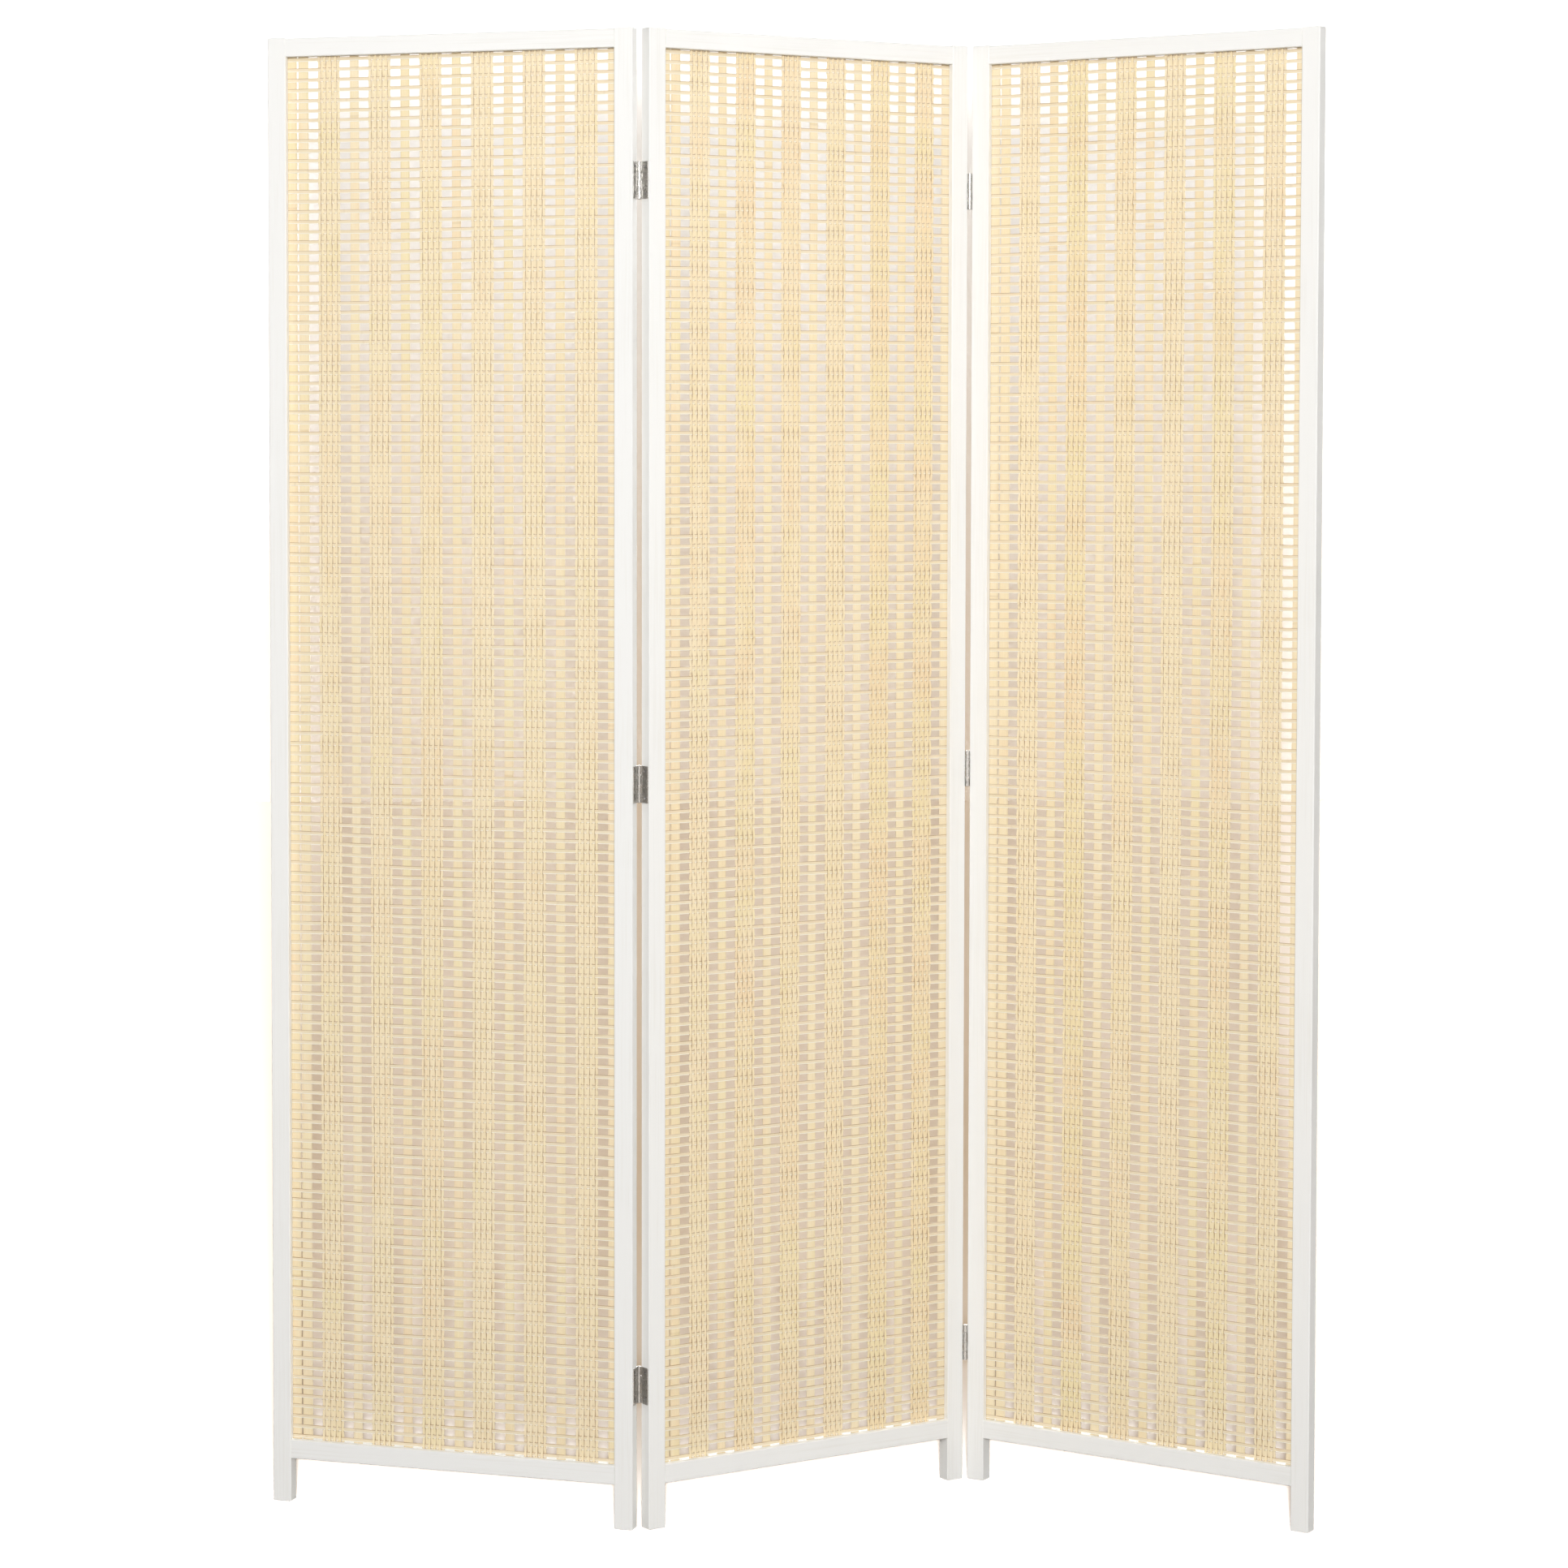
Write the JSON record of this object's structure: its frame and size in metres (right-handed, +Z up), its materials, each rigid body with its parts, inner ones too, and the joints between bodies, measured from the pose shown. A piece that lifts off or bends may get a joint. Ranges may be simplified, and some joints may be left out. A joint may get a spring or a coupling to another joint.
{
  "type": "folding room divider",
  "caption": "Free-standing folding room divider: painted wood frames with woven bamboo infill, joined by steel butt hinges.",
  "frame": {"origin": "on the floor, under the middle of the screen's outline as it stands in the picture", "axes": "+Z up; +X to the right along the screen's length; -Y towards the viewer of the picture"},
  "size_m": [1.1904, 0.2664, 1.7],
  "materials": {
    "painted_wood": "white satin paint over softwood",
    "bamboo": "split natural bamboo, smooth skin, unvarnished",
    "hinge_steel": "nickel-plated pressed steel"
  },
  "bodies": {
    "left_panel": {"left_panel_left_stile": "painted_wood", "left_panel_right_stile": "painted_wood", "left_panel_top_rail": "painted_wood", "left_panel_bottom_rail": "painted_wood", "left_panel_cross_strips": "bamboo", "left_panel_front_narrow_slats": "bamboo", "left_panel_back_narrow_slats": "bamboo", "left_panel_wide_slats": "bamboo", "left_fold_upper_hinge_side_leaf": "hinge_steel", "left_fold_middle_hinge_side_leaf": "hinge_steel", "left_fold_lower_hinge_side_leaf": "hinge_steel"},
    "middle_panel": {"middle_panel_left_stile": "painted_wood", "middle_panel_right_stile": "painted_wood", "middle_panel_top_rail": "painted_wood", "middle_panel_bottom_rail": "painted_wood", "middle_panel_cross_strips": "bamboo", "middle_panel_front_narrow_slats": "bamboo", "middle_panel_back_narrow_slats": "bamboo", "middle_panel_wide_slats": "bamboo", "left_fold_upper_hinge_middle_leaf": "hinge_steel", "left_fold_upper_hinge_pin": "hinge_steel", "left_fold_middle_hinge_middle_leaf": "hinge_steel", "left_fold_middle_hinge_pin": "hinge_steel", "left_fold_lower_hinge_middle_leaf": "hinge_steel", "left_fold_lower_hinge_pin": "hinge_steel", "right_fold_upper_hinge_middle_leaf": "hinge_steel", "right_fold_upper_hinge_pin": "hinge_steel", "right_fold_middle_hinge_middle_leaf": "hinge_steel", "right_fold_middle_hinge_pin": "hinge_steel", "right_fold_lower_hinge_middle_leaf": "hinge_steel", "right_fold_lower_hinge_pin": "hinge_steel"},
    "right_panel": {"right_panel_left_stile": "painted_wood", "right_panel_right_stile": "painted_wood", "right_panel_top_rail": "painted_wood", "right_panel_bottom_rail": "painted_wood", "right_panel_cross_strips": "bamboo", "right_panel_front_narrow_slats": "bamboo", "right_panel_back_narrow_slats": "bamboo", "right_panel_wide_slats": "bamboo", "right_fold_upper_hinge_side_leaf": "hinge_steel", "right_fold_middle_hinge_side_leaf": "hinge_steel", "right_fold_lower_hinge_side_leaf": "hinge_steel"}
  },
  "joints": [
    {"name": "left_fold", "type": "hinge", "parent": "middle_panel", "child": "left_panel", "pos_m": [-0.17149, -0.08644, 0.85], "axis": [0, 0, -1], "range_deg": [-56, 131]},
    {"name": "right_fold", "type": "hinge", "parent": "middle_panel", "child": "right_panel", "pos_m": [0.22308, 0.11896, 0.85], "axis": [0, 0, -1], "range_deg": [-72, 115]}
  ]
}
